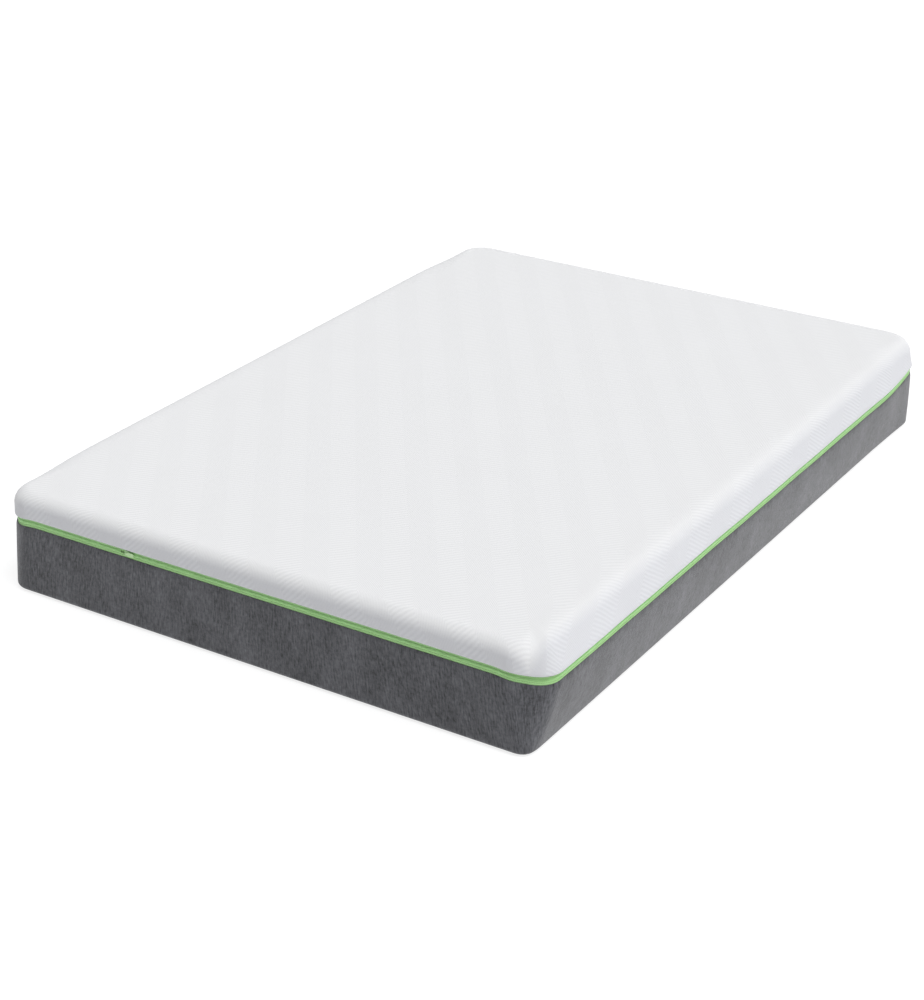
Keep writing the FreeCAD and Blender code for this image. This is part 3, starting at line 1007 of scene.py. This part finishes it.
WORLD_FROM, WORLD_TO = -0.55, 0.65         # cosines of the angle to that side, dim to bright
BACKDROP = 1.05                            # how bright the camera itself sees them


def studio_world():
    """Soft surrounding light: bright behind and above the mattress, dim in front of it."""
    world = bpy.data.worlds.new("studio")
    bpy.context.scene.world = world
    world.use_nodes = True
    tree = world.node_tree
    back = tree.nodes["Background"]
    coordinates = tree.nodes.new("ShaderNodeTexCoord")
    dot = tree.nodes.new("ShaderNodeVectorMath")
    dot.operation = "DOT_PRODUCT"
    dot.inputs[1].default_value = Vector(WORLD_TOWARD).normalized()
    spread = tree.nodes.new("ShaderNodeMapRange")
    spread.interpolation_type = "SMOOTHSTEP"
    for socket, value in enumerate((WORLD_FROM, WORLD_TO, WORLD_DIM, WORLD_BRIGHT), start=1):
        spread.inputs[socket].default_value = value
    tree.links.new(coordinates.outputs["Generated"], dot.inputs[0])
    tree.links.new(dot.outputs["Value"], spread.inputs[0])
    # the camera sees a plain white backdrop, whichever side it looks towards
    path = tree.nodes.new("ShaderNodeLightPath")
    backdrop = tree.nodes.new("ShaderNodeMix")
    tree.links.new(path.outputs["Is Camera Ray"], backdrop.inputs[0])
    tree.links.new(spread.outputs[0], backdrop.inputs[2])
    backdrop.inputs[3].default_value = BACKDROP
    tree.links.new(backdrop.outputs[0], back.inputs[1])
    back.inputs[0].default_value = (0.985, 0.99, 1.0, 1.0)


studio_world()


def sun_light(name, toward, strength, spread):
    """A sun in this direction; spread is its soft width in degrees."""
    data = bpy.data.lights.new(name, "SUN")
    data.energy = strength
    data.angle = math.radians(spread)
    lamp = bpy.data.objects.new(name, data)
    bpy.context.scene.collection.objects.link(lamp)
    lamp.rotation_euler = (-Vector(toward)).to_track_quat("-Z", "Y").to_euler()


sun_light("key", toward=(0.458, -0.05, 0.888), strength=2.25, spread=40)

CAMERA_AT = (2.5827, -4.2386, 2.3989)
CAMERA_TURN, CAMERA_DOWN = 32.31, 25.856   # degrees left of +Y, and below level
CAMERA_LENS = 79.59                        # millimetres, on a sensor 36 wide

camera_data = bpy.data.cameras.new("camera")
camera = bpy.data.objects.new("camera", camera_data)
bpy.context.scene.collection.objects.link(camera)
bpy.context.scene.camera = camera
camera.location = CAMERA_AT
camera.rotation_euler = (math.radians(90 - CAMERA_DOWN), 0, math.radians(CAMERA_TURN))
camera_data.sensor_width = 36
camera_data.lens = CAMERA_LENS
camera_data.dof.use_dof = False
camera_data.clip_end = 100
bpy.context.scene.view_settings.view_transform = "Standard"

low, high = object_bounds()
